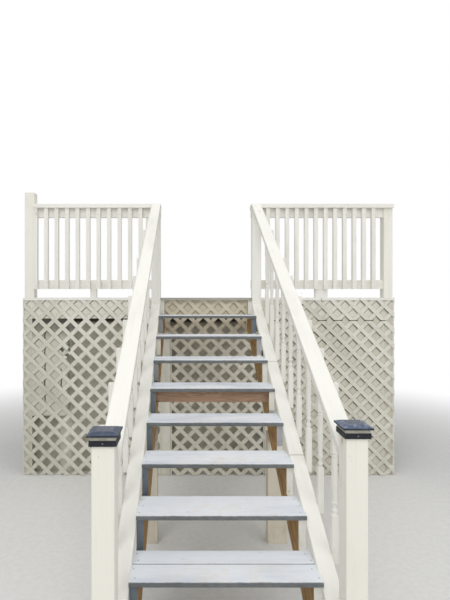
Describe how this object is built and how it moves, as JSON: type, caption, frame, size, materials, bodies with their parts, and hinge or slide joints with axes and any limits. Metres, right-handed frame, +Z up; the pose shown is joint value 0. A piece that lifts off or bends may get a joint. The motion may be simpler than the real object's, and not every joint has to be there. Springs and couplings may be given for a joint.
{
  "type": "wooden deck stairs",
  "caption": "Straight open-riser wooden flight up to a deck front, with sawtooth stringers, flat handrails, turned spindles, capped newels, guard rails and lattice skirt.",
  "frame": {"origin": "centre of the footprint, on the ground", "axes": "+Z up, +Y into the deck (the way someone going up walks), +X to their right"},
  "size_m": [3.753, 4.055, 2.856],
  "materials": {
    "white_paint": "sun-bleached white exterior paint, knots and grain faintly showing",
    "tread_paint": "worn pale blue-grey deck paint",
    "bare_wood": "bare weathered softwood",
    "stringer_paint": "bare boards with slate-grey paint on their cut edges",
    "cap_black": "glossy navy-black",
    "cap_lens": "translucent cream, lit from within at night"
  },
  "bodies": {
    "root": {"tread_1": "tread_paint", "tread_2": "tread_paint", "tread_3": "tread_paint", "tread_4": "tread_paint", "tread_5": "tread_paint", "tread_6": "tread_paint", "tread_7": "tread_paint", "tread_8": "tread_paint", "tread_9": "tread_paint", "tread_10": "tread_paint", "stringer_left": "stringer_paint", "stringer_right": "stringer_paint", "spreader": "bare_wood", "props": "white_paint", "newel_left": "white_paint", "newel_right": "white_paint", "post_cap_skirts": "cap_black", "post_cap_lenses": "cap_lens", "post_cap_plates": "cap_black", "handrail_left": "white_paint", "handrail_right": "white_paint", "bottom_rail_left": "white_paint", "bottom_rail_right": "white_paint", "spindles_left": "white_paint", "spindles_right": "white_paint", "top_post_left": "white_paint", "top_post_right": "white_paint", "guard_cap_left": "white_paint", "guard_cap_right": "white_paint", "guard_rails": "white_paint", "guard_balusters_left": "white_paint", "guard_balusters_right": "white_paint", "guard_blocks": "white_paint", "porch_post": "white_paint", "end_post": "white_paint", "lattice_left": "white_paint", "lattice_centre": "white_paint", "lattice_right_strip": "white_paint", "lattice_right": "white_paint", "lattice_boards": "white_paint", "backing": "white_paint", "rim_joists": "white_paint", "legs": "white_paint", "joists": "bare_wood", "deck_boards": "tread_paint"}
  },
  "joints": []
}
